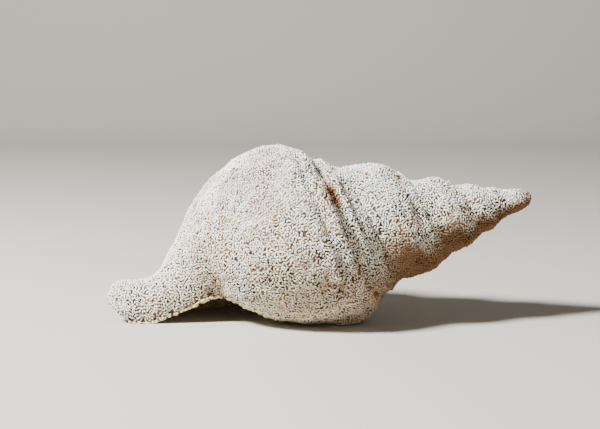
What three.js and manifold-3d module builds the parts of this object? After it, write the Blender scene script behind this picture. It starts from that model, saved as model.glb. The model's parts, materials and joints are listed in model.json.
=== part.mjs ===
// A horse conch shell lying on its aperture, overgrown with a rough crust: one natural solid with its cavity.
// Millimetres, +Z up. +X points to the apex, -X to the end of the siphonal canal and +Y to the far side.
//
// The shell coils to the right round one axis. A place on it is given by "along", the distance from the apex
// down the coil axis, by "turn", the angle round that axis, and by its radius. Turn 0 is the top and a
// quarter turn is the far side. The shell grew towards higher turns, up to its outer lip, and each full turn
// back is the same, only smaller.
import * as THREE from "three";
import { mergeVertices } from "three/addons/utils/BufferGeometryUtils.js";
import Module from "manifold-3d";

// Driving dimensions.
const length = 248; // from the apex to the end of the canal, down the coil axis
const growth = 1.6; // how much larger the shell gets in one turn
const lipTurn = 125 / 360; // where the outer lip ends, low on the far side
const firstTurn = -5.15; // where the coil starts, at the worn apex
const axisTilt = 13.2; // degrees: the apex lies higher than the canal
const crust = 2.2; // the crust's own thickness, which doesn't get smaller towards the apex
const wall = 3; // thickness of the last whorl's wall
const footing = 3.3; // how far the lowest places are worn flat, where the shell rests
const canal = { radius: 13.4, roundFrom: 238, blend: 6 };
const channelSize = { across: 8.6, up: 12.5, below: 8.5, from: 166, flare: 7 };
const tipCut = { along: 246, up: -7, slope: 42 }; // the canal's end slants back under here, in degrees
const columellaRadius = 8;
const callus = { turn: -0.47, along: 114.5, radius: 42.6, size: [16.5, 14, 8] }; // pad by the aperture
const cavityTurns = 2.6; // how far back from the lip the cavity is hollow
const baseHold = { grown: 0.65, young: 0.18 }; // how far the base's growth lags behind the shoulder's

// Half the outline of the last whorl at turn 0, from under the suture to the canal: along, radius.
const whorlProfile = [
  [90, 20],
  [96, 29],
  [99, 34],
  [101.5, 37.4],
  [104, 38.3],
  [107.5, 41],
  [110, 43.6],
  [112.5, 44.4],
  [115, 46.2],
  [120, 50.8],
  [126, 55],
  [132, 57.4],
  [139, 58.2],
  [147, 58],
  [156, 56.6],
  [166, 53.6],
  [175, 49.6],
  [184, 43.6],
  [192, 37.4],
  [199, 30.6],
  [206, 22.4],
  [213, 14.4],
  [220, 9],
  [230, 5],
];

// Half the outline of the worn apex, which closes the smallest coils: along, radius.
const apexProfile = [
  [0, 0],
  [0.4, 2.6],
  [2.2, 4.6],
  [6, 6.4],
  [11, 7.8],
  [16, 8.2],
  [22, 7],
  [24, 0],
];

// How far the middle of the shell lies above a straight coil axis: the canal bends down.
const axisBend = [
  [0, -0.5],
  [50, -1],
  [85, 1],
  [115, 2.6],
  [150, 2.4],
  [180, -1],
  [205, -6.4],
  [223, -9.4],
  [238, -7.4],
  [248, -6.6],
];

// Height of a smooth curve through the points at x, held level past both ends.
function curveAt(points, x) {
  const last = points.length - 1;
  if (x <= points[0][0]) return points[0][1];
  if (x >= points[last][0]) return points[last][1];
  const i = points.findIndex((point) => point[0] > x) - 1;
  const slope = (k) => {
    const before = points[Math.max(k - 1, 0)];
    const after = points[Math.min(k + 1, last)];
    return (after[1] - before[1]) / (after[0] - before[0]);
  };
  const span = points[i + 1][0] - points[i][0];
  const u = (x - points[i][0]) / span;
  return (
    (2 * u ** 3 - 3 * u ** 2 + 1) * points[i][1] +
    (u ** 3 - 2 * u ** 2 + u) * span * slope(i) +
    (3 * u ** 2 - 2 * u ** 3) * points[i + 1][1] +
    (u ** 3 - u ** 2) * span * slope(i + 1)
  );
}

// The larger of two lengths, rounded off where they are within "soft" of each other.
function softMax(a, b, soft) {
  const near = Math.max(soft - Math.abs(a - b), 0) / soft;
  return Math.max(a, b) + (near * near * soft) / 4;
}

// Size of the shell at a turn, for a station of the profile. The base grows more slowly than the shoulder
// does, and the canal hardly at all.
function sizeAt(turn, station) {
  const base = THREE.MathUtils.smoothstep(station, 136, 170);
  const neck = THREE.MathUtils.smoothstep(station, 214, 234);
  const held = turn > 0 ? -baseHold.grown * turn : baseHold.young * Math.min(-turn, 1);
  const exponent = turn + held * base;
  return growth ** (turn > -1 ? exponent * (1 - neck) : exponent);
}

// The place on a coil at one station of the profile.
function onCoil(turn, station) {
  const size = sizeAt(turn, station);
  const crustKept = crust * (1 - Math.min(size, 1));
  return { along: station * size, radius: curveAt(whorlProfile, station) * size + crustKept };
}

// Radius of the coil at a distance along the axis, found by halving the range that its station lies in.
function coilRadius(turn, along) {
  const halvings = 24;
  let [low, high] = [0, 2 * length];
  for (let i = 0; i < halvings; i++) {
    const middle = (low + high) / 2;
    if (onCoil(turn, middle).along < along) low = middle;
    else high = middle;
  }
  return onCoil(turn, low).radius;
}

// Radius of the canal, which closes in a round end.
function canalRadius(along) {
  const past = Math.max(along - canal.roundFrom, 0) / (length - canal.roundFrom);
  const start = THREE.MathUtils.smoothstep(along, 130, 190);
  return start * canal.radius * Math.sqrt(Math.max(1 - past * past, 0));
}

// A point of the shell, before it is tilted and stood on its base.
function place(turn, along, radius) {
  const angle = turn * 2 * Math.PI;
  const up = radius * Math.cos(angle) + curveAt(axisBend, along);
  return new THREE.Vector3(-along, radius * Math.sin(angle), up);
}

const wasm = await Module();
wasm.setup();

// A manifold-3d solid from three.js geometry.
function toSolid(geometry) {
  geometry.deleteAttribute("normal");
  geometry.deleteAttribute("uv");
  const merged = mergeVertices(geometry, 1e-3);
  const corners = Array.from(merged.index.array);
  const kept = [];
  for (let i = 0; i < corners.length; i += 3) {
    const [a, b, c] = corners.slice(i, i + 3);
    if (a !== b && b !== c && c !== a) kept.push(a, b, c);
  }
  const vertProperties = merged.attributes.position.array;
  return new wasm.Manifold(new wasm.Mesh({ numProp: 3, vertProperties, triVerts: new Uint32Array(kept) }));
}

// A closed skin round rows of points. Each row is a loop, out along one side and back along the other.
function skin(rows) {
  const width = rows[0].length;
  const end = (rows.length - 1) * width;
  const faces = [];
  for (let start = 0; start < end; start += width) {
    for (let i = 0; i < width; i++) {
      const [a, b] = [start + i, start + ((i + 1) % width)];
      faces.push(a, b, b + width, a, b + width, a + width);
    }
  }
  for (let i = 0; i < width / 2 - 1; i++) {
    const back = width - 1 - i;
    faces.push(i + 1, i, back, i + 1, back, back - 1);
    faces.push(end + i, end + i + 1, end + back, end + i + 1, end + back - 1, end + back);
  }
  const geometry = new THREE.BufferGeometry().setFromPoints(rows.flat());
  geometry.setIndex(faces);
  return toSolid(geometry);
}

// One stretch of a coil, filled right down to the axis. The last whorl's stretches include the canal. Each
// end goes on a little way inside the stretch next to it, and only the lip stops at its last row.
function stretch(fromTurn, toTurn, steps, stations, isLast) {
  const overlap = 0.03;
  const buried = 0.82;
  const tailTaper = 8; // the coil itself closes to a point over this last length, inside the canal
  const axisPoints = stations.map((station) => onCoil((fromTurn + toTurn) / 2, station).along);
  const rowAt = (turn, share) => {
    const out = stations.map((station) => {
      const { along, radius } = onCoil(turn, station);
      const tapered = radius * Math.sqrt(Math.max(Math.min((length - along) / tailTaper, 1), 0));
      const withCanal = softMax(tapered, canalRadius(along), canal.blend);
      return place(turn, along, share * (isLast ? withCanal : radius));
    });
    return [...out, ...axisPoints.map((along) => place(turn, along, 0)).reverse()];
  };
  const rows = [rowAt(fromTurn - overlap, buried)];
  for (let i = 0; i <= steps; i++) rows.push(rowAt(THREE.MathUtils.lerp(fromTurn, toTurn, i / steps), 1));
  if (toTurn !== lipTurn) rows.push(rowAt(toTurn + overlap, buried));
  return skin(rows.reverse());
}

// The outside: half turns of the coil from the apex to the lip, all joined.
function outside() {
  const upper = [90, 96, 99, 101.5, 104, 107, 109, 111, 114, 118, 122, 126, 130, 136, 144, 154, 166, 180];
  const lower = [190, 199, 206, 212, 218, 224, 229, 234, 238, 242, 245, 247, length];
  const apexOutline = apexProfile.map(([along, radius]) => new THREE.Vector2(radius, -along)).reverse();
  const [apexSides, spireRows, whorlRows] = [20, 10, 16];
  const lastRows = 26;
  const apex = new THREE.LatheGeometry(apexOutline, apexSides);
  apex.rotateZ(-Math.PI / 2).translate(0, 0, axisBend[0][1]);
  const lastStart = lipTurn - 1.004; // a little more than one turn, so that its ends don't meet in one plane
  const solids = [toSolid(apex)];
  for (let turn = lastStart; turn > firstTurn; turn -= 0.5) {
    solids.push(stretch(turn - 0.5, turn, turn > -2.5 ? whorlRows : spireRows, upper, false));
  }
  const stations = [...upper.slice(0, -3), 150, 158, 166, 174, 182, ...lower];
  solids.push(stretch(lastStart, lastStart + 0.5, lastRows, stations, true));
  solids.push(stretch(lastStart + 0.5, lipTurn, lastRows, stations, true));
  return wasm.Manifold.union(solids);
}

// The cavity: a tunnel that follows the last coils back from the lip. Its outer side keeps the wall's
// thickness, and its inner side is the coil before, or the pillar on the axis.
function cavity() {
  const rowsPerTurn = 22;
  const half = 11; // spans across the cavity
  const pastLip = 0.012; // turns that it runs on beyond the lip, to open it
  const clearance = 0.3; // between the cavity and the coil before
  const lowEnd = 212; // where it hands over to the canal's channel
  const steps = Math.round(cavityTurns * rowsPerTurn);
  const rows = [];
  for (let i = 0; i <= steps; i++) {
    const turn = lipTurn + pastLip - (i / steps) * cavityTurns;
    const size = growth ** turn;
    const pillar = columellaRadius * Math.min(size, 1);
    const inner = (along) => Math.max(coilRadius(turn - 1, along), pillar) + clearance;
    const outer = (along) => coilRadius(turn, along) - wall * Math.max(size, 0.5);
    let from = whorlProfile[0][0] * size;
    while (outer(from) < inner(from)) from += 0.5;
    let to = from + 8;
    while (outer(to) > inner(to) && to < lowEnd) to += 0.5;
    const spread = Array.from({ length: half + 1 }, (_, k) => (1 - Math.cos((Math.PI * k) / half)) / 2);
    const stops = spread.map((share) => THREE.MathUtils.lerp(from, to, share));
    const out = stops.map((along, k) => {
      const gap = Math.sin((Math.PI * k) / half);
      return place(turn, along, Math.max(outer(along), inner(along) + gap));
    });
    const back = stops.map((along) => place(turn, along, inner(along)));
    rows.push([...out, ...back.reverse()]);
  }
  return skin(rows);
}

// The channel of the canal: oval rings down the canal, open below and at its end. It starts wide, where the
// cavity runs into it from the far side.
function channel() {
  const [around, rings] = [20, 16];
  const pastEnd = 6;
  const rows = [];
  for (let i = 0; i <= rings; i++) {
    const along = THREE.MathUtils.lerp(channelSize.from, length + pastEnd, i / rings);
    const extra = channelSize.flare * (1 - THREE.MathUtils.smoothstep(along, 190, 224));
    const row = [];
    for (let j = 0; j < around; j++) {
      const angle = ((j + 0.5) / around) * 2 * Math.PI;
      const across = extra + (channelSize.across + extra) * Math.sin(angle);
      const up = curveAt(axisBend, along) - channelSize.below + channelSize.up * Math.cos(angle);
      row.push(new THREE.Vector3(-along, across, up));
    }
    rows.push(row);
  }
  return skin(rows);
}

// The slanted block that the end of the canal is cut back by.
function tipBlock() {
  const slope = THREE.MathUtils.degToRad(tipCut.slope);
  const block = new THREE.BoxGeometry(40, 60, 80);
  block.translate(-20, 0, -40).rotateY(-slope).translate(-tipCut.along, 0, tipCut.up);
  return toSolid(block);
}

// The solid as three.js geometry, with flat faces.
function toGeometry(solid) {
  const mesh = solid.getMesh();
  const geometry = new THREE.BufferGeometry();
  geometry.setAttribute("position", new THREE.BufferAttribute(new Float32Array(mesh.vertProperties), 3));
  geometry.setIndex(new THREE.BufferAttribute(mesh.triVerts, 1));
  const faceted = geometry.toNonIndexed();
  faceted.computeVertexNormals();
  return faceted;
}

// The largest body of a solid, without the crumbs that a join leaves.
function largest(solid) {
  return solid.decompose().reduce((best, body) => (body.volume() > best.volume() ? body : best));
}

// The shell tilted to how it lies, with its origin on the floor under the middle of its box.
function stood(solid) {
  const tilted = solid.rotate([0, -axisTilt, 0]);
  const { min, max } = tilted.boundingBox();
  const floor = new THREE.BoxGeometry(2 * length, 2 * length, length);
  floor.translate((min[0] + max[0]) / 2, 0, min[2] + footing - length / 2);
  const shift = [-(min[0] + max[0]) / 2, -(min[1] + max[1]) / 2, -min[2] - footing];
  return tilted.subtract(toSolid(floor)).translate(shift);
}

const { x, y, z } = place(callus.turn, callus.along, callus.radius);
const pad = new THREE.SphereGeometry(1, 24, 12).scale(...callus.size).translate(x, y, z);
const filled = largest(outside().add(toSolid(pad)));
const hollow = filled.subtract(cavity()).subtract(channel()).subtract(tipBlock());
const tolerance = 0.05;
const shellSolid = largest(stood(hollow).simplify(tolerance));

const crustMaterial = new THREE.MeshStandardMaterial({ color: 0xd9d2c6, roughness: 0.9, metalness: 0 });
const shell = new THREE.Mesh(toGeometry(shellSolid), crustMaterial);
shell.name = "shell";

const conch = new THREE.Group();
conch.add(shell);

export default conch;
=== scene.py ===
import json
import math
import random

import bmesh
import bpy
import numpy as np
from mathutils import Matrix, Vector, noise
from mathutils.bvhtree import BVHTree

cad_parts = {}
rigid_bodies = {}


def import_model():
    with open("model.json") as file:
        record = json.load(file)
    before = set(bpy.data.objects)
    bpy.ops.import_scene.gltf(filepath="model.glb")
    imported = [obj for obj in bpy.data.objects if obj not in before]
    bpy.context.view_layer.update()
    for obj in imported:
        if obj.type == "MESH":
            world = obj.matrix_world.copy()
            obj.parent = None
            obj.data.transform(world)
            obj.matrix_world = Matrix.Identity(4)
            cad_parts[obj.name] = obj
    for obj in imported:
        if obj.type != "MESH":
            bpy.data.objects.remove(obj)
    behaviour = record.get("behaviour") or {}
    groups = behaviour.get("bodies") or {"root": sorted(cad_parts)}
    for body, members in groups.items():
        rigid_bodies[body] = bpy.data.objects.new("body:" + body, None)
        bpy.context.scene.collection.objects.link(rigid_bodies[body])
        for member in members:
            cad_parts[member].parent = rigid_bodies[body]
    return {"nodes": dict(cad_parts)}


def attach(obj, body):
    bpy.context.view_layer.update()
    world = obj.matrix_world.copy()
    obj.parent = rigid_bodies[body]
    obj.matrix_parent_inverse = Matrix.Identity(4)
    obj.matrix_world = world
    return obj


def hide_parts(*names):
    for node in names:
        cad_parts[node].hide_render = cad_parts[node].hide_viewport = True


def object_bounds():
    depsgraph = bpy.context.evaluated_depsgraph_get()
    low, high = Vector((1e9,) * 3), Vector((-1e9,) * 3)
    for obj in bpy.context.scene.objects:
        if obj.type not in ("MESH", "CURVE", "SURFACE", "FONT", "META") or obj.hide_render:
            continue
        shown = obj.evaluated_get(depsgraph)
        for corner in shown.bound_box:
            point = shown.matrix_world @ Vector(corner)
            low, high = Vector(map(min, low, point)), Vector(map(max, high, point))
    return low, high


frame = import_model()
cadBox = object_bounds()
shellNode = frame["nodes"]["shell"]

mm = 0.001
random.seed(7)
noise.seed_set(7)


# small helpers

def newObject(name, mesh):
    piece = bpy.data.objects.new(name, mesh)
    bpy.context.collection.objects.link(piece)
    return piece


def appliedMesh(piece, name):
    depsgraph = bpy.context.evaluated_depsgraph_get()
    mesh = bpy.data.meshes.new_from_object(piece.evaluated_get(depsgraph), depsgraph=depsgraph)
    mesh.name = name
    return mesh


def readVectors(items, prop):
    flat = np.empty(len(items) * 3, dtype=np.float32)
    items.foreach_get(prop, flat)
    return flat.reshape(-1, 3).astype(np.float64)


def smoothstep(low, high, value):
    share = np.clip((value - low) / (high - low), 0, 1)
    return share * share * (3 - 2 * share)


def bell(value, middle, width):
    return np.exp(-(((value - middle) / width) ** 2))


def setAttribute(mesh, name, values):
    attribute = mesh.attributes.get(name) or mesh.attributes.new(name, "FLOAT", "POINT")
    attribute.data.foreach_set("value", np.asarray(values, dtype=np.float32))


def noiseAt(coords, size, offset=0.0, octaves=2):
    shift = Vector((offset, 1.7 * offset, -offset))
    places = [Vector(co) / size + shift for co in coords]
    found = [noise.fractal(place, 0.6, 2.0, octaves, noise_basis="PERLIN_ORIGINAL") for place in places]
    return np.array(found)


def treeOf(mesh, coords):
    return BVHTree.FromPolygons([Vector(co) for co in coords], [tuple(p.vertices) for p in mesh.polygons])


def writeShape(mesh, coords, normals):
    # the moved points, and where the smooth surface faces at each
    mesh.vertices.foreach_set("co", coords.astype(np.float32).ravel())
    way = mesh.attributes.new("way", "FLOAT_VECTOR", "POINT")
    way.data.foreach_set("vector", normals.astype(np.float32).ravel())
    mesh.polygons.foreach_set("use_smooth", [True] * len(mesh.polygons))


nearSide = {"outside": -200 * mm, "behind": -3 * mm, "step": 0.25 * mm, "most": 24 * mm}


def lowestNear(tree, x, start=0.0):
    # the lowest place of the near side at one distance along the shell, from a height upwards
    for z in np.arange(start + 0.1 * mm, start + nearSide["most"], nearSide["step"]):
        met = tree.ray_cast(Vector((x, nearSide["outside"], z)), Vector((0, 1, 0)))[0]
        if met is not None and met.y < nearSide["behind"]:
            return met
    return None


# where a point lies on the coil: how far down the axis, how far from it, and at which turn

coil = {
    "tilt": math.radians(13.2), "growth": 1.6, "lipTurn": 125 / 360, "turns": 8,
    "suture": 98, "base": 157,  # stations where the last whorl starts and its relief ends
}
nodeCoords = readVectors(shellNode.data.vertices, "co")
tipCoords = nodeCoords[nodeCoords[:, 0] > nodeCoords[:, 0].max() - 3 * mm]
apex = np.array([nodeCoords[:, 0].max(), tipCoords[:, 1].mean(), tipCoords[:, 2].mean()])
axisDown = np.array([-math.cos(coil["tilt"]), 0, -math.sin(coil["tilt"])])
axisUp = np.array([-math.sin(coil["tilt"]), 0, math.cos(coil["tilt"])])


def coilPlace(coords):
    away = coords - apex
    along = away @ axisDown
    side, up = away[:, 1], away @ axisUp
    angle = (np.arctan2(side, up) / (2 * math.pi)) % 1.0
    return along / mm, np.hypot(side, up) / mm, angle


def stationOf(coords):
    # the place on the whorl's outline, the same on every whorl, counted from the suture
    along, _, angle = coilPlace(coords)
    turn = np.where(angle > coil["lipTurn"], angle - 1, angle)
    station = along / coil["growth"] ** turn
    lastWhorl = station >= coil["suture"]
    for _ in range(coil["turns"]):
        station = np.where(station < coil["suture"], station * coil["growth"], station)
    return station, lastWhorl, along / np.maximum(station, 1)


# the shell itself

body = {"voxel": 1.36 * mm, "smoothing": 3, "crustDepth": 0.9 * mm}
relief = {  # place on the outline, width, height in mm
    "suture": (100.2, 1.6, -1.7), "collar": (104.0, 2.2, 0.6), "ridge": (110.6, 1.4, 1.7),
    "ramp": (115.8, 3.3, -2.0), "keel": (120.8, 2.8, 1.8), "groove": (126.6, 2.2, -1.1),
    "cord": (131.5, 2.6, 0.9),
}
knobs = {"perTurn": 8, "phase": 0.9, "place": (127, 13), "lastWhorl": 0.3, "spire": 1.3}
sight = {"lift": 0.6 * mm, "tilts": (0.0, 0.45, -0.45, 1.0, -1.0), "mouthFrom": 105, "mouthFacing": -0.3}
boxSize = np.array(cadBox[1]) - np.array(cadBox[0])  # the places below are shares of its length and height
# the neck fold: dented into the shape, and darkened towards tan in the material as painted shade
neckFold = {"line": [(0.268, 0.25), (0.25, 0.32), (0.226, 0.45)], "width": 5 * mm, "depth": 1.9 * mm}
# a hollow by the notch: dented into the shape, and darkened towards brown in the material as painted shade
hollow = {"line": [(0.250, 0.185), (0.276, 0.205)], "width": 3.5 * mm, "depth": 1.2 * mm}
rustSpot = {"line": [(0.525, 0.785), (0.537, 0.715)], "width": 4 * mm}
wrinkles = {"place": np.array([0.06, 0.29]), "width": 13 * mm, "grain": 8 * mm, "height": 5.4 * mm}
edge = {
    "column": 2 * mm, "from": (0.04, 0.07), "to": (0.44, 0.40), "near": -4 * mm, "fade": (-2 * mm, -8 * mm),
    "over": 10 * mm, "most": 5 * mm, "crust": 1.4 * mm,
}


def roundedCopy():
    # an even copy of the solid, without its flat facets
    piece = newObject("shellBody", shellNode.data.copy())
    piece.data.materials.clear()
    remesh = piece.modifiers.new("even", "REMESH")
    remesh.mode = "VOXEL"
    remesh.voxel_size = body["voxel"]
    even = piece.modifiers.new("soft", "SMOOTH")
    even.iterations = body["smoothing"]
    even.factor = 0.5
    mesh = appliedMesh(piece, "shellBody")
    piece.modifiers.clear()
    piece.data = mesh
    return piece


def outsideShare(mesh, coords, normals, along):
    # 1 where nothing of the shell lies over a point, and how far the point faces away from the coil's axis
    tree = treeOf(mesh, coords)
    away = coords - apex
    outward = away - np.outer(away @ axisDown, axisDown)
    outward /= np.maximum(np.linalg.norm(outward, axis=1), 1e-9)[:, None]
    found = np.zeros(len(coords))
    for i, (co, way, normal) in enumerate(zip(coords, outward, normals)):
        start = Vector(co + normal * sight["lift"])
        rays = [Vector(way + axisDown * tilt).normalized() for tilt in sight["tilts"]]
        clear = [tree.ray_cast(start, ray)[0] is None for ray in rays]
        inMouth = along[i] > sight["mouthFrom"] and way[2] < sight["mouthFacing"]
        found[i] = sum(clear[:3]) >= 2 if inMouth else any(clear)
    return found, (normals * outward).sum(axis=1)


def softened(mesh, values, rounds):
    # values averaged along the edges
    pairs = np.empty(len(mesh.edges) * 2, dtype=np.int32)
    mesh.edges.foreach_get("vertices", pairs)
    first, second = pairs.reshape(-1, 2).T
    count = np.bincount(pairs, minlength=len(values))
    for _ in range(rounds):
        total = np.bincount(first, values[second], len(values))
        total += np.bincount(second, values[first], len(values))
        values = (values + total) / (1 + count)
    return values


def lineBand(coords, line, width):
    # 1 on a line drawn across the near side
    flat = coords[:, [0, 2]] + [boxSize[0] / 2, 0]
    corners = np.array(line) * boxSize[[0, 2]]
    nearest = np.full(len(coords), 1.0)
    for start, end in zip(corners[:-1], corners[1:]):
        way = end - start
        share = np.clip(((flat - start) @ way) / (way @ way), 0, 1)
        nearest = np.minimum(nearest, np.linalg.norm(flat - start - share[:, None] * way, axis=1))
    return bell(nearest, 0, width) * smoothstep(0, 12 * mm, -coords[:, 1])


def hangingEdge(coords):
    # how far down each point goes, so that the near edge is where the CAD has it, with crust hanging from it
    cadTree = treeOf(shellNode.data, nodeCoords)
    column = ((coords[:, 0] + boxSize[0] / 2) / edge["column"]).astype(int)
    near = coords[:, 1] < edge["near"]
    lowest = np.full(column.max() + 1, 1.0)
    np.minimum.at(lowest, column[near], coords[near, 2])
    middles = (np.arange(len(lowest)) + 0.5) * edge["column"] - boxSize[0] / 2
    met = [lowestNear(cadTree, x) for x in middles]
    cadEdge = np.array([1.0 if place is None else place.z for place in met])
    share = coords[:, 0] / boxSize[0] + 0.5
    inside = smoothstep(*edge["from"], share) * smoothstep(*edge["to"], share)
    drop = np.clip((lowest - cadEdge + edge["crust"])[column], 0, edge["most"]) * inside
    over = smoothstep(edge["over"], 0, coords[:, 2] - lowest[column])
    return drop * over * smoothstep(*edge["fade"], coords[:, 1])


def coilRelief(coords, angle, station, lastWhorl, whorlSize, onSpire):
    # the suture, ridges, ramp and knobs that turn with the coil
    reach = np.clip(whorlSize, 0, 1) * np.where(lastWhorl, 1, 0.4)  # the spire has been worn rounder
    reach *= 0.25 + 0.75 * smoothstep(5 * mm, 32 * mm, np.abs(coords[:, 1]))
    shift = np.full(len(coords), -body["crustDepth"])
    for middle, width, height in relief.values():
        wobble = 1 + 0.5 * noiseAt(coords, 13 * mm, middle)
        shift += bell(station, middle, width) * height * mm * reach * wobble * onSpire
    drift = 1.5 * noiseAt(coords, 40 * mm, 2.2)
    knob = np.cos(2 * math.pi * knobs["perTurn"] * angle + knobs["phase"] + drift)
    knobHeight = np.where(lastWhorl, knobs["lastWhorl"], knobs["spire"] * whorlSize)
    knobHeight = knobHeight * bell(station, *knobs["place"])
    filled = np.where(lastWhorl, 0, 1.2 * whorlSize) * bell(station, 113, 5)
    return shift + (knob * knobHeight + filled) * mm * onSpire


def wrinkling(coords):
    away = np.linalg.norm(coords[:, [0, 2]] - wrinkles["place"] * boxSize[[0, 2]], axis=1)
    folds = 1 - 2 * np.abs(noiseAt(coords * np.array([1.0, 1.0, 0.5]), wrinkles["grain"], 4.4, 2))
    wrinkled = bell(away, 0, wrinkles["width"]) * smoothstep(0, 12 * mm, -coords[:, 1])
    return wrinkled * (folds - 0.75) * wrinkles["height"]


def markShell(mesh, coords, normals, along, station, lastWhorl, onSpire, flat):
    # what the material asks of each point, apart from how far it is outside
    spot = lineBand(coords, rustSpot["line"], rustSpot["width"])
    setAttribute(mesh, "ramp", 0.3 * bell(station, 119, 3.5) * onSpire * smoothstep(40, 70, along) + spot)
    # the ridge's upward-facing side gets a painted highlight in the material
    ridge = bell(station, 110.6, 1.3) * lastWhorl * onSpire
    setAttribute(mesh, "ridge", ridge * smoothstep(-0.5, 0.1, normals[:, 2]))
    farLip = (coords[:, 1] > 8 * mm) * (normals[:, 1] < 0.4) * smoothstep(7 * mm, 4 * mm, coords[:, 2])
    setAttribute(mesh, "seam", farLip)
    pitting = 0.15 + 0.35 * noiseAt(coords, 2.2 * mm, 1.3) + 0.25 * noiseAt(coords, 18 * mm, 7.7)
    # towards the bottom the pits come out darker, and in the upper left fewer and lighter
    upperLeftLightening = smoothstep(0.02, -0.04, coords[:, 0]) * smoothstep(0.035, 0.07, coords[:, 2])
    lowerDarkening = 0.1 * smoothstep(0.06, 0.03, coords[:, 2])
    setAttribute(mesh, "height", pitting - lowerDarkening + 0.06 * upperLeftLightening + 0.6 * (1 - flat))
    setAttribute(mesh, "tone", np.full(len(coords), 0.5))


def shapeShell(piece):
    mesh = piece.data
    coords = readVectors(mesh.vertices, "co")
    normals = readVectors(mesh.vertex_normals, "vector")
    along, _, angle = coilPlace(coords)
    share, facing = outsideShare(mesh, coords, normals, along)
    outside = softened(mesh, share, 4)
    station, lastWhorl, whorlSize = stationOf(coords)
    onSpire = np.where(lastWhorl, station < coil["base"], True)
    shift = coilRelief(coords, angle, station, lastWhorl, whorlSize, onSpire)
    shift += (1.0 * noiseAt(coords, 26 * mm, 3.1) + 0.6 * noiseAt(coords, 9 * mm, 8.4, 3)) * mm
    fold = lineBand(coords, neckFold["line"], neckFold["width"])
    dent = lineBand(coords, hollow["line"], hollow["width"])
    shift -= fold * neckFold["depth"] * smoothstep(12 * mm, 24 * mm, coords[:, 2]) + dent * hollow["depth"]
    shift += wrinkling(coords)
    wall = np.where(facing < -0.2, -(1 - outside), 0)  # the wall's inner side moves along with its outer side
    flat = smoothstep(0.2 * mm, 3 * mm, coords[:, 2])  # the places it rests on stay where they are
    coords += normals * (shift * (outside + wall) * flat)[:, None]
    coords[:, 2] = np.maximum(coords[:, 2] - hangingEdge(coords), 0)
    writeShape(mesh, coords, normals)
    for name, values in (("outside", outside), ("hollow", dent), ("fold", fold)):
        setAttribute(mesh, name, values)
    markShell(mesh, coords, normals, along, station, lastWhorl, onSpire, flat)
    mesh.update()
    return coords, outside, along


shellBody = roundedCopy()
bodyCoords, outside, along = shapeShell(shellBody)
print("shell body:", len(shellBody.data.polygons), "faces")


# the cream lip: a thin beaded rim under the near edge, and a seam along the body over it

lip = {
    "step": 0.9 * mm, "radius": 1.2 * mm, "beads": 0.35,
    "rim": (0.054, 0.5), "seam": (0.33, 0.61),  # where each runs, in shares of the shell's length
    "mouth": (0.34, 0.07), "swell": 0.7,  # the rim is thicker beside the mouth
    "climb": (0.38, 0.64), "seamLow": 2.2 * mm, "seamHigh": 16 * mm,  # how the seam leaves the rim
    "stand": (0, -0.5 * mm, 0.2 * mm), "grain": 1.4 * mm, "rough": 0.5 * mm, "clear": (1.0, 1.9),
}


def rimLine(tree):
    # just under the near edge, thicker beside the mouth
    places, thickness = [], []
    for share in np.arange(*lip["rim"], lip["step"] / boxSize[0]):
        met = lowestNear(tree, (share - 0.5) * boxSize[0])
        if met is not None:
            places.append(met + Vector(lip["stand"]))
            ends = smoothstep(lip["rim"][1], lip["rim"][1] - 0.1, share)
            thickness.append((0.85 + lip["swell"] * bell(share, *lip["mouth"])) * (0.5 + 0.5 * ends))
    return places, thickness


def seamLine(tree):
    # over the rim, and climbing the body
    places, thickness = [], []
    for share in np.arange(*lip["seam"], lip["step"] / boxSize[0]):
        x = (share - 0.5) * boxSize[0]
        lift = lip["seamLow"] + lip["seamHigh"] * smoothstep(*lip["climb"], share)
        base = lowestNear(tree, x)
        met = base and lowestNear(tree, x, base.z + lift)
        if met:
            places.append(met + Vector(lip["stand"]))
            thickness.append(0.8 - 0.4 * smoothstep(*lip["seam"], share))
    return places, thickness


def addStrand(curve, places, thickness):
    places = np.array(places)
    for _ in range(2):
        places[1:-1] = (places[:-2] + 2 * places[1:-1] + places[2:]) / 4
    spline = curve.splines.new("POLY")
    spline.points.add(len(places) - 1)
    for point, place, thick in zip(spline.points, places, thickness):
        point.co = (*place, 1)
        point.radius = thick * random.uniform(1 - lip["beads"], 1 + lip["beads"])


def makeLip():
    tree = treeOf(shellBody.data, bodyCoords)
    curve = bpy.data.curves.new("lip", "CURVE")
    curve.dimensions = "3D"
    curve.bevel_depth = lip["radius"]
    curve.bevel_resolution = 2
    curve.use_fill_caps = True
    bare = np.ones(len(bodyCoords))
    for places, thickness in (rimLine(tree), seamLine(tree)):
        addStrand(curve, places, thickness)
        for place, thick in zip(places, thickness):
            reach = np.linalg.norm(bodyCoords - place, axis=1) / (thick * lip["radius"])
            bare = np.minimum(bare, smoothstep(*lip["clear"], reach))
    tube = newObject("tube", curve)
    dense = tube.modifiers.new("dense", "SUBSURF")
    dense.levels = dense.render_levels = 1
    mesh = appliedMesh(tube, "creamLip")
    bpy.data.objects.remove(tube)
    coords = readVectors(mesh.vertices, "co")
    normals = readVectors(mesh.vertex_normals, "vector")
    coords += normals * (lip["rough"] * noiseAt(coords, lip["grain"], 3.3))[:, None]
    coords[:, 2] = np.maximum(coords[:, 2], 0)
    writeShape(mesh, coords, normals)
    for name, value in (("outside", 1.0), ("seam", 1.0), ("tone", 0.3)):
        setAttribute(mesh, name, np.full(len(coords), value))
    setAttribute(mesh, "height", 0.52 + 0.9 * noiseAt(coords, lip["grain"], 3.3))
    print("lip:", len(mesh.polygons), "faces")
    return newObject("creamLip", mesh), bare


creamLip, clearOfLip = makeLip()


# the crust: thousands of small chalky grains, close together

grainShapes = {"count": 10, "radius": 0.79 * mm, "flat": 0.9, "rough": 0.18}
crust = {
    "spacing": 1.25 * mm, "density": 4.0e6, "lean": 0.25,
    "smallest": (0.7, 0.7, 0.6), "largest": (1.2, 1.2, 1.35),
}


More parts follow.
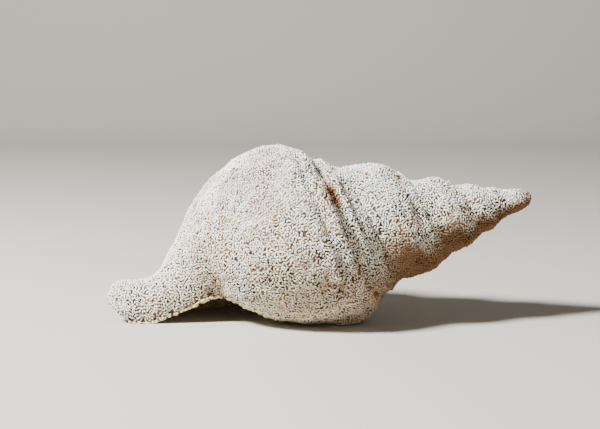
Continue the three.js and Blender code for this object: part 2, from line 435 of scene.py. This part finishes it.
def makeGrains():
    holder = bpy.data.collections.new("grainShapes")
    for number in range(grainShapes["count"]):
        bm = bmesh.new()
        bmesh.ops.create_icosphere(bm, subdivisions=1, radius=grainShapes["radius"])
        stretch = random.uniform(1.05, 2.1)
        bmesh.ops.scale(bm, vec=(stretch, 1 / stretch ** 0.5, grainShapes["flat"]), verts=bm.verts)
        for vert in bm.verts:
            vert.co += noise.random_vector() * grainShapes["rough"] * grainShapes["radius"]
        mesh = bpy.data.meshes.new(f"grain{number}")
        bm.to_mesh(mesh)
        bm.free()
        # painted shade: a grain's low side gets a low height, which the material darkens like the shade
        # between grains
        heights = readVectors(mesh.vertices, "co")[:, 2] / (grainShapes["radius"] * grainShapes["flat"])
        setAttribute(mesh, "height", smoothstep(-0.3, 1.0, heights))
        mesh.polygons.foreach_set("use_smooth", [True] * len(mesh.polygons))
        holder.objects.link(bpy.data.objects.new(mesh.name, mesh))
    return holder


def grainNodes(holder, seed):
    tree = bpy.data.node_groups.new("growCrust", "GeometryNodeTree")
    tree.interface.new_socket("Geometry", in_out="INPUT", socket_type="NodeSocketGeometry")
    tree.interface.new_socket("Geometry", in_out="OUTPUT", socket_type="NodeSocketGeometry")
    nodes, link = tree.nodes, tree.links.new
    source, result = nodes.new("NodeGroupInput"), nodes.new("NodeGroupOutput")
    grow = nodes.new("GeometryNodeInputNamedAttribute")
    grow.data_type = "FLOAT"
    grow.inputs["Name"].default_value = "grow"
    scatter = nodes.new("GeometryNodeDistributePointsOnFaces")
    scatter.distribute_method = "POISSON"
    scatter.inputs["Distance Min"].default_value = crust["spacing"]
    scatter.inputs["Density Max"].default_value = crust["density"]
    scatter.inputs["Seed"].default_value = seed
    link(source.outputs[0], scatter.inputs["Mesh"])
    link(grow.outputs["Attribute"], scatter.inputs["Density Factor"])
    shapes = nodes.new("GeometryNodeCollectionInfo")
    shapes.inputs["Collection"].default_value = holder
    shapes.inputs["Separate Children"].default_value = True
    shapes.inputs["Reset Children"].default_value = True
    spin = nodes.new("FunctionNodeRandomValue")
    spin.data_type = "FLOAT_VECTOR"
    spin.inputs["Min"].default_value = (-crust["lean"], -crust["lean"], 0)
    spin.inputs["Max"].default_value = (crust["lean"], crust["lean"], 2 * math.pi)
    spin.inputs["Seed"].default_value = seed + 1
    turnIt = nodes.new("FunctionNodeRotateRotation")
    turnIt.rotation_space = "LOCAL"
    link(scatter.outputs["Rotation"], turnIt.inputs["Rotation"])
    link(spin.outputs["Value"], turnIt.inputs["Rotate By"])
    size = nodes.new("FunctionNodeRandomValue")
    size.data_type = "FLOAT_VECTOR"
    size.inputs["Min"].default_value = crust["smallest"]
    size.inputs["Max"].default_value = crust["largest"]
    size.inputs["Seed"].default_value = seed + 2
    place = nodes.new("GeometryNodeInstanceOnPoints")
    place.inputs["Pick Instance"].default_value = True
    link(scatter.outputs["Points"], place.inputs["Points"])
    link(shapes.outputs[0], place.inputs["Instance"])
    link(turnIt.outputs["Rotation"], place.inputs["Rotation"])
    link(size.outputs["Value"], place.inputs["Scale"])
    tone = nodes.new("FunctionNodeRandomValue")
    tone.data_type = "FLOAT"
    tone.inputs["Seed"].default_value = seed + 3
    mark = nodes.new("GeometryNodeStoreNamedAttribute")
    mark.data_type = "FLOAT"
    mark.domain = "INSTANCE"
    mark.inputs["Name"].default_value = "tone"
    link(place.outputs["Instances"], mark.inputs["Geometry"])
    toneValue = [s for s in tone.outputs if s.enabled][0]
    link(toneValue, [s for s in mark.inputs if s.name == "Value" and s.enabled][0])
    real = nodes.new("GeometryNodeRealizeInstances")
    link(mark.outputs["Geometry"], real.inputs["Geometry"])
    link(real.outputs["Geometry"], result.inputs[0])
    return tree


def growCrust(name, share, seed):
    # the grains of one stretch of the shell
    bed = newObject("bed", shellBody.data.copy())
    setAttribute(bed.data, "grow", share)
    bed.data.attributes.remove(bed.data.attributes["height"])
    grow = bed.modifiers.new("grow", "NODES")
    grow.node_group = grainNodes(grainHolder, seed)
    mesh = appliedMesh(bed, name)
    bpy.data.objects.remove(bed)
    coords = readVectors(mesh.vertices, "co")
    coords[:, 2] = np.maximum(coords[:, 2], 0)
    mesh.vertices.foreach_set("co", coords.astype(np.float32).ravel())
    piece = newObject(name, mesh)
    print(name + ":", len(mesh.polygons), "faces")
    return piece


grainHolder = makeGrains()
offTheFlats = smoothstep(0.2 * mm, 1.5 * mm, bodyCoords[:, 2])
coverage = np.clip(outside * 1.15 - 0.1, 0, 1) * offTheFlats * clearOfLip
stretches = [
    ("crustSpire", -1, 88), ("crustShoulder", 88, 128), ("crustBody", 128, 160), ("crustCanal", 160, 400),
]
crustPieces = [
    growCrust(name, coverage * ((along >= low) & (along < high)), 11 + 5 * number)
    for number, (name, low, high) in enumerate(stretches)
]


# the chalky crust's material

def srgb(red, green, blue):
    return tuple(((c / 255 + 0.055) / 1.055) ** 2.4 for c in (red, green, blue))


chalk = {
    "white": srgb(251, 252, 246), "cream": srgb(244, 237, 214), "grey": srgb(220, 221, 214),
    "skyHighlight": srgb(236, 244, 248), "lilac": srgb(206, 184, 200), "tan": srgb(206, 184, 150),
    "brown": srgb(122, 88, 58), "rust": srgb(184, 116, 40), "rim": srgb(250, 230, 180),
    "pit": srgb(118, 88, 60), "deepPit": srgb(54, 38, 26), "inner": srgb(138, 112, 88),
}


def chalkMaterial():
    material = bpy.data.materials.new("chalkyCrust")
    material.use_nodes = True
    nodes, link = material.node_tree.nodes, material.node_tree.links.new
    shader = nodes["Principled BSDF"]
    place = nodes.new("ShaderNodeTexCoord")

    def noiseNode(scale, detail=3.0, rough=0.55, offset=(0, 0, 0)):
        shiftIt = nodes.new("ShaderNodeMapping")
        shiftIt.inputs["Location"].default_value = offset
        link(place.outputs["Object"], shiftIt.inputs["Vector"])
        node = nodes.new("ShaderNodeTexNoise")
        node.inputs["Scale"].default_value = scale
        node.inputs["Detail"].default_value = detail
        node.inputs["Roughness"].default_value = rough
        link(shiftIt.outputs["Vector"], node.inputs["Vector"])
        return node.outputs["Fac"]

    def attribute(name):
        node = nodes.new("ShaderNodeAttribute")
        node.attribute_name = name
        return node.outputs["Fac"]

    def attributeVector(name):
        node = nodes.new("ShaderNodeAttribute")
        node.attribute_name = name
        return node.outputs["Vector"]

    def mathNode(operation, a, b=None, c=None, clamp=False):
        node = nodes.new("ShaderNodeMath")
        node.operation = operation
        node.use_clamp = clamp
        for socket, value in zip(node.inputs, (a, b, c)):
            if value is None:
                continue
            if isinstance(value, (int, float)):
                socket.default_value = value
            else:
                link(value, socket)
        return node.outputs[0]

    def mapped(value, low, high, toLow=0.0, toHigh=1.0):
        node = nodes.new("ShaderNodeMapRange")
        node.interpolation_type = "SMOOTHSTEP"
        for key, number in zip(("From Min", "From Max", "To Min", "To Max"), (low, high, toLow, toHigh)):
            node.inputs[key].default_value = number
        link(value, node.inputs["Value"])
        return node.outputs["Result"]

    def mixed(share, first, second, blend="MIX"):
        node = nodes.new("ShaderNodeMix")
        node.data_type = "RGBA"
        node.blend_type = blend
        for key, value in (("Factor", share), ("A", first), ("B", second)):
            socket = [s for s in node.inputs if s.name == key and s.enabled][0]
            if isinstance(value, (int, float)):
                socket.default_value = value
            elif isinstance(value, tuple):
                socket.default_value = (*value, 1)
            else:
                link(value, socket)
        return [s for s in node.outputs if s.enabled][0]

    split = nodes.new("ShaderNodeSeparateXYZ")
    link(place.outputs["Object"], split.inputs[0])
    surfaceWay = nodes.new("ShaderNodeSeparateXYZ")
    link(attributeVector("way"), surfaceWay.inputs[0])
    height, tone, outsideMask = attribute("height"), attribute("tone"), attribute("outside")
    patches = mapped(noiseNode(34, 4, 0.6), 0.4, 0.62)
    base = mixed(patches, chalk["cream"], chalk["white"])
    base = mixed(mapped(noiseNode(60, 3, 0.6, (3, 1, 2)), 0.52, 0.7, 0, 0.7), base, chalk["grey"])
    # painted highlight: surfaces that face up are tinted towards a cool bluish white, as if lit from above
    upward = mapped(surfaceWay.outputs["Z"], 0.1, 0.9)
    base = mixed(mathNode("MULTIPLY", upward, 0.5), base, chalk["skyHighlight"])
    leftUp = mathNode(
        "MULTIPLY", mapped(split.outputs["X"], 0.0, -0.03), mapped(split.outputs["Z"], 0.045, 0.07)
    )
    lilacPlace = mathNode("MULTIPLY", leftUp, mapped(noiseNode(42, 3, 0.6, (9, 4, 1)), 0.44, 0.58))
    base = mixed(mathNode("MULTIPLY", lilacPlace, 0.8), base, chalk["lilac"])
    # painted shade: the neck fold is darkened towards tan
    base = mixed(mathNode("MULTIPLY", attribute("fold"), 0.8), base, chalk["tan"])
    # painted shade: the hollow by the notch is darkened towards brown
    base = mixed(mathNode("MULTIPLY", attribute("hollow"), 0.85), base, chalk["brown"])
    tanPlace = mapped(noiseNode(48, 4, 0.65, (5, 8, 3)), 0.53, 0.68, 0, 0.7)
    base = mixed(tanPlace, base, chalk["tan"])
    base = mixed(mapped(tone, 0.0, 1.0, 0.0, 0.5), base, chalk["white"])
    facingZ, alongX = surfaceWay.outputs["Z"], split.outputs["X"]
    # painted shade: surfaces facing down are mixed towards tan, and on the spire's underside towards brown
    lowShade = mathNode("MULTIPLY", mapped(facingZ, 0.35, -0.6), mapped(alongX, -0.05, 0.03, 0.25, 0.75))
    base = mixed(lowShade, base, chalk["tan"])
    underShade = mathNode("MULTIPLY", mapped(facingZ, 0.15, -0.45), mapped(alongX, 0.02, 0.05, 0.1, 1.0))
    base = mixed(underShade, base, chalk["brown"])
    rustPlace = mathNode("MULTIPLY", attribute("ramp"), mapped(noiseNode(95, 4, 0.6, (2, 7, 6)), 0.30, 0.50))
    base = mixed(mathNode("MULTIPLY", rustPlace, 0.9), base, chalk["rust"])
    base = mixed(mapped(split.outputs["X"], 0.108, 0.119, 0, 0.7), base, chalk["brown"])
    # painted highlight: white along the raised ridge where it faces up
    base = mixed(mathNode("MULTIPLY", attribute("ridge"), 0.7), base, chalk["white"])
    base = mixed(attribute("seam"), base, chalk["rim"])
    # painted shade: low places, by the height attribute, take the dark pit colours in place of the shade in
    # pits and between grains
    pits = mixed(mapped(noiseNode(90, 2, 0.5, (1, 1, 7)), 0.4, 0.6), chalk["deepPit"], chalk["pit"])
    surface = mixed(mapped(height, 0.12, 0.76), pits, base)
    # the inside has its own tan-brown colour, made darker here as painted shade inside the mouth
    inner = mixed(mapped(noiseNode(40, 3, 0.5, (6, 6, 6)), 0.35, 0.75), chalk["inner"], chalk["tan"])
    colour = mixed(mapped(outsideMask, 0.25, 0.75), inner, surface)
    link(colour, shader.inputs["Base Color"])
    link(mapped(noiseNode(300, 2, 0.5), 0.3, 0.7, 0.82, 0.98), shader.inputs["Roughness"])
    shader.inputs["Specular IOR Level"].default_value = 0.25
    bump = nodes.new("ShaderNodeBump")
    bump.inputs["Strength"].default_value = 0.5
    bump.inputs["Distance"].default_value = 0.25 * mm
    link(noiseNode(2600, 3, 0.6), bump.inputs["Height"])
    link(bump.outputs["Normal"], shader.inputs["Normal"])
    return material


chalky = chalkMaterial()
for piece in [shellBody, creamLip, *crustPieces]:
    piece.data.materials.clear()
    piece.data.materials.append(chalky)
    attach(piece, "root")
    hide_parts("shell")


# floor, light and camera

stage = {"floor": 2.4, "wallAt": 1.2, "wallHeight": 1.2, "bend": 0.4}


def makeStage():
    bm = bmesh.new()
    bmesh.ops.create_grid(bm, x_segments=1, y_segments=1, size=stage["floor"])
    bmesh.ops.translate(bm, vec=(0, stage["wallAt"] - stage["floor"], 0), verts=bm.verts)
    backEdge = max(bm.edges, key=lambda edge: sum(vert.co.y for vert in edge.verts))
    turned = bmesh.ops.spin(
        bm, geom=[backEdge, *backEdge.verts], cent=(0, stage["wallAt"], stage["bend"]), axis=(1, 0, 0),
        dvec=(0, 0, 0), angle=math.pi / 2, steps=16, use_duplicate=False,
    )
    top = [item for item in turned["geom_last"] if isinstance(item, bmesh.types.BMEdge)]
    raised = bmesh.ops.extrude_edge_only(bm, edges=top)["geom"]
    bmesh.ops.translate(
        bm, vec=(0, 0, stage["wallHeight"]), verts=[v for v in raised if isinstance(v, bmesh.types.BMVert)]
    )
    bmesh.ops.recalc_face_normals(bm, faces=bm.faces)
    mesh = bpy.data.meshes.new("floor")
    bm.to_mesh(mesh)
    bm.free()
    mesh.polygons.foreach_set("use_smooth", [True] * len(mesh.polygons))
    floor = newObject("floor", mesh)
    material = bpy.data.materials.new("paleFloor")
    material.use_nodes = True
    shader = material.node_tree.nodes["Principled BSDF"]
    shader.inputs["Base Color"].default_value = (*srgb(196, 191, 183), 1)
    shader.inputs["Roughness"].default_value = 0.8
    floor.data.materials.append(material)


def addLight(name, place, target, size, power, colour):
    data = bpy.data.lights.new(name, "AREA")
    data.shape = "DISK"
    data.size = size
    data.energy = power
    data.color = colour
    lamp = newObject(name, data)
    lamp.location = place
    lamp.rotation_euler = (Vector(target) - Vector(place)).to_track_quat("-Z", "Y").to_euler()


makeStage()
addLight("window", (-0.85, -0.45, 0.98), (0, 0, 0.05), 0.26, 76, (0.985, 1.0, 0.975))
addLight("room", (0.5, -1.1, 0.7), (0, 0, 0.05), 1.0, 1.2, (1.0, 0.95, 0.88))
world = bpy.data.worlds.new("room")
world.use_nodes = True
world.node_tree.nodes["Background"].inputs["Color"].default_value = (1.0, 0.92, 0.82, 1)
world.node_tree.nodes["Background"].inputs["Strength"].default_value = 0.13
bpy.context.scene.world = world

lens = {"focal": 85, "elevation": math.radians(7.5), "target": (-0.0105, 0, 0.0597), "distance": 0.806}
cameraData = bpy.data.cameras.new("camera")
cameraData.lens = lens["focal"]
cameraData.sensor_width = 36
camera = newObject("camera", cameraData)
backwards = Vector((0, -math.cos(lens["elevation"]), math.sin(lens["elevation"])))
camera.location = Vector(lens["target"]) + backwards * lens["distance"]
camera.rotation_euler = (-backwards).to_track_quat("-Z", "Y").to_euler()
bpy.context.scene.camera = camera
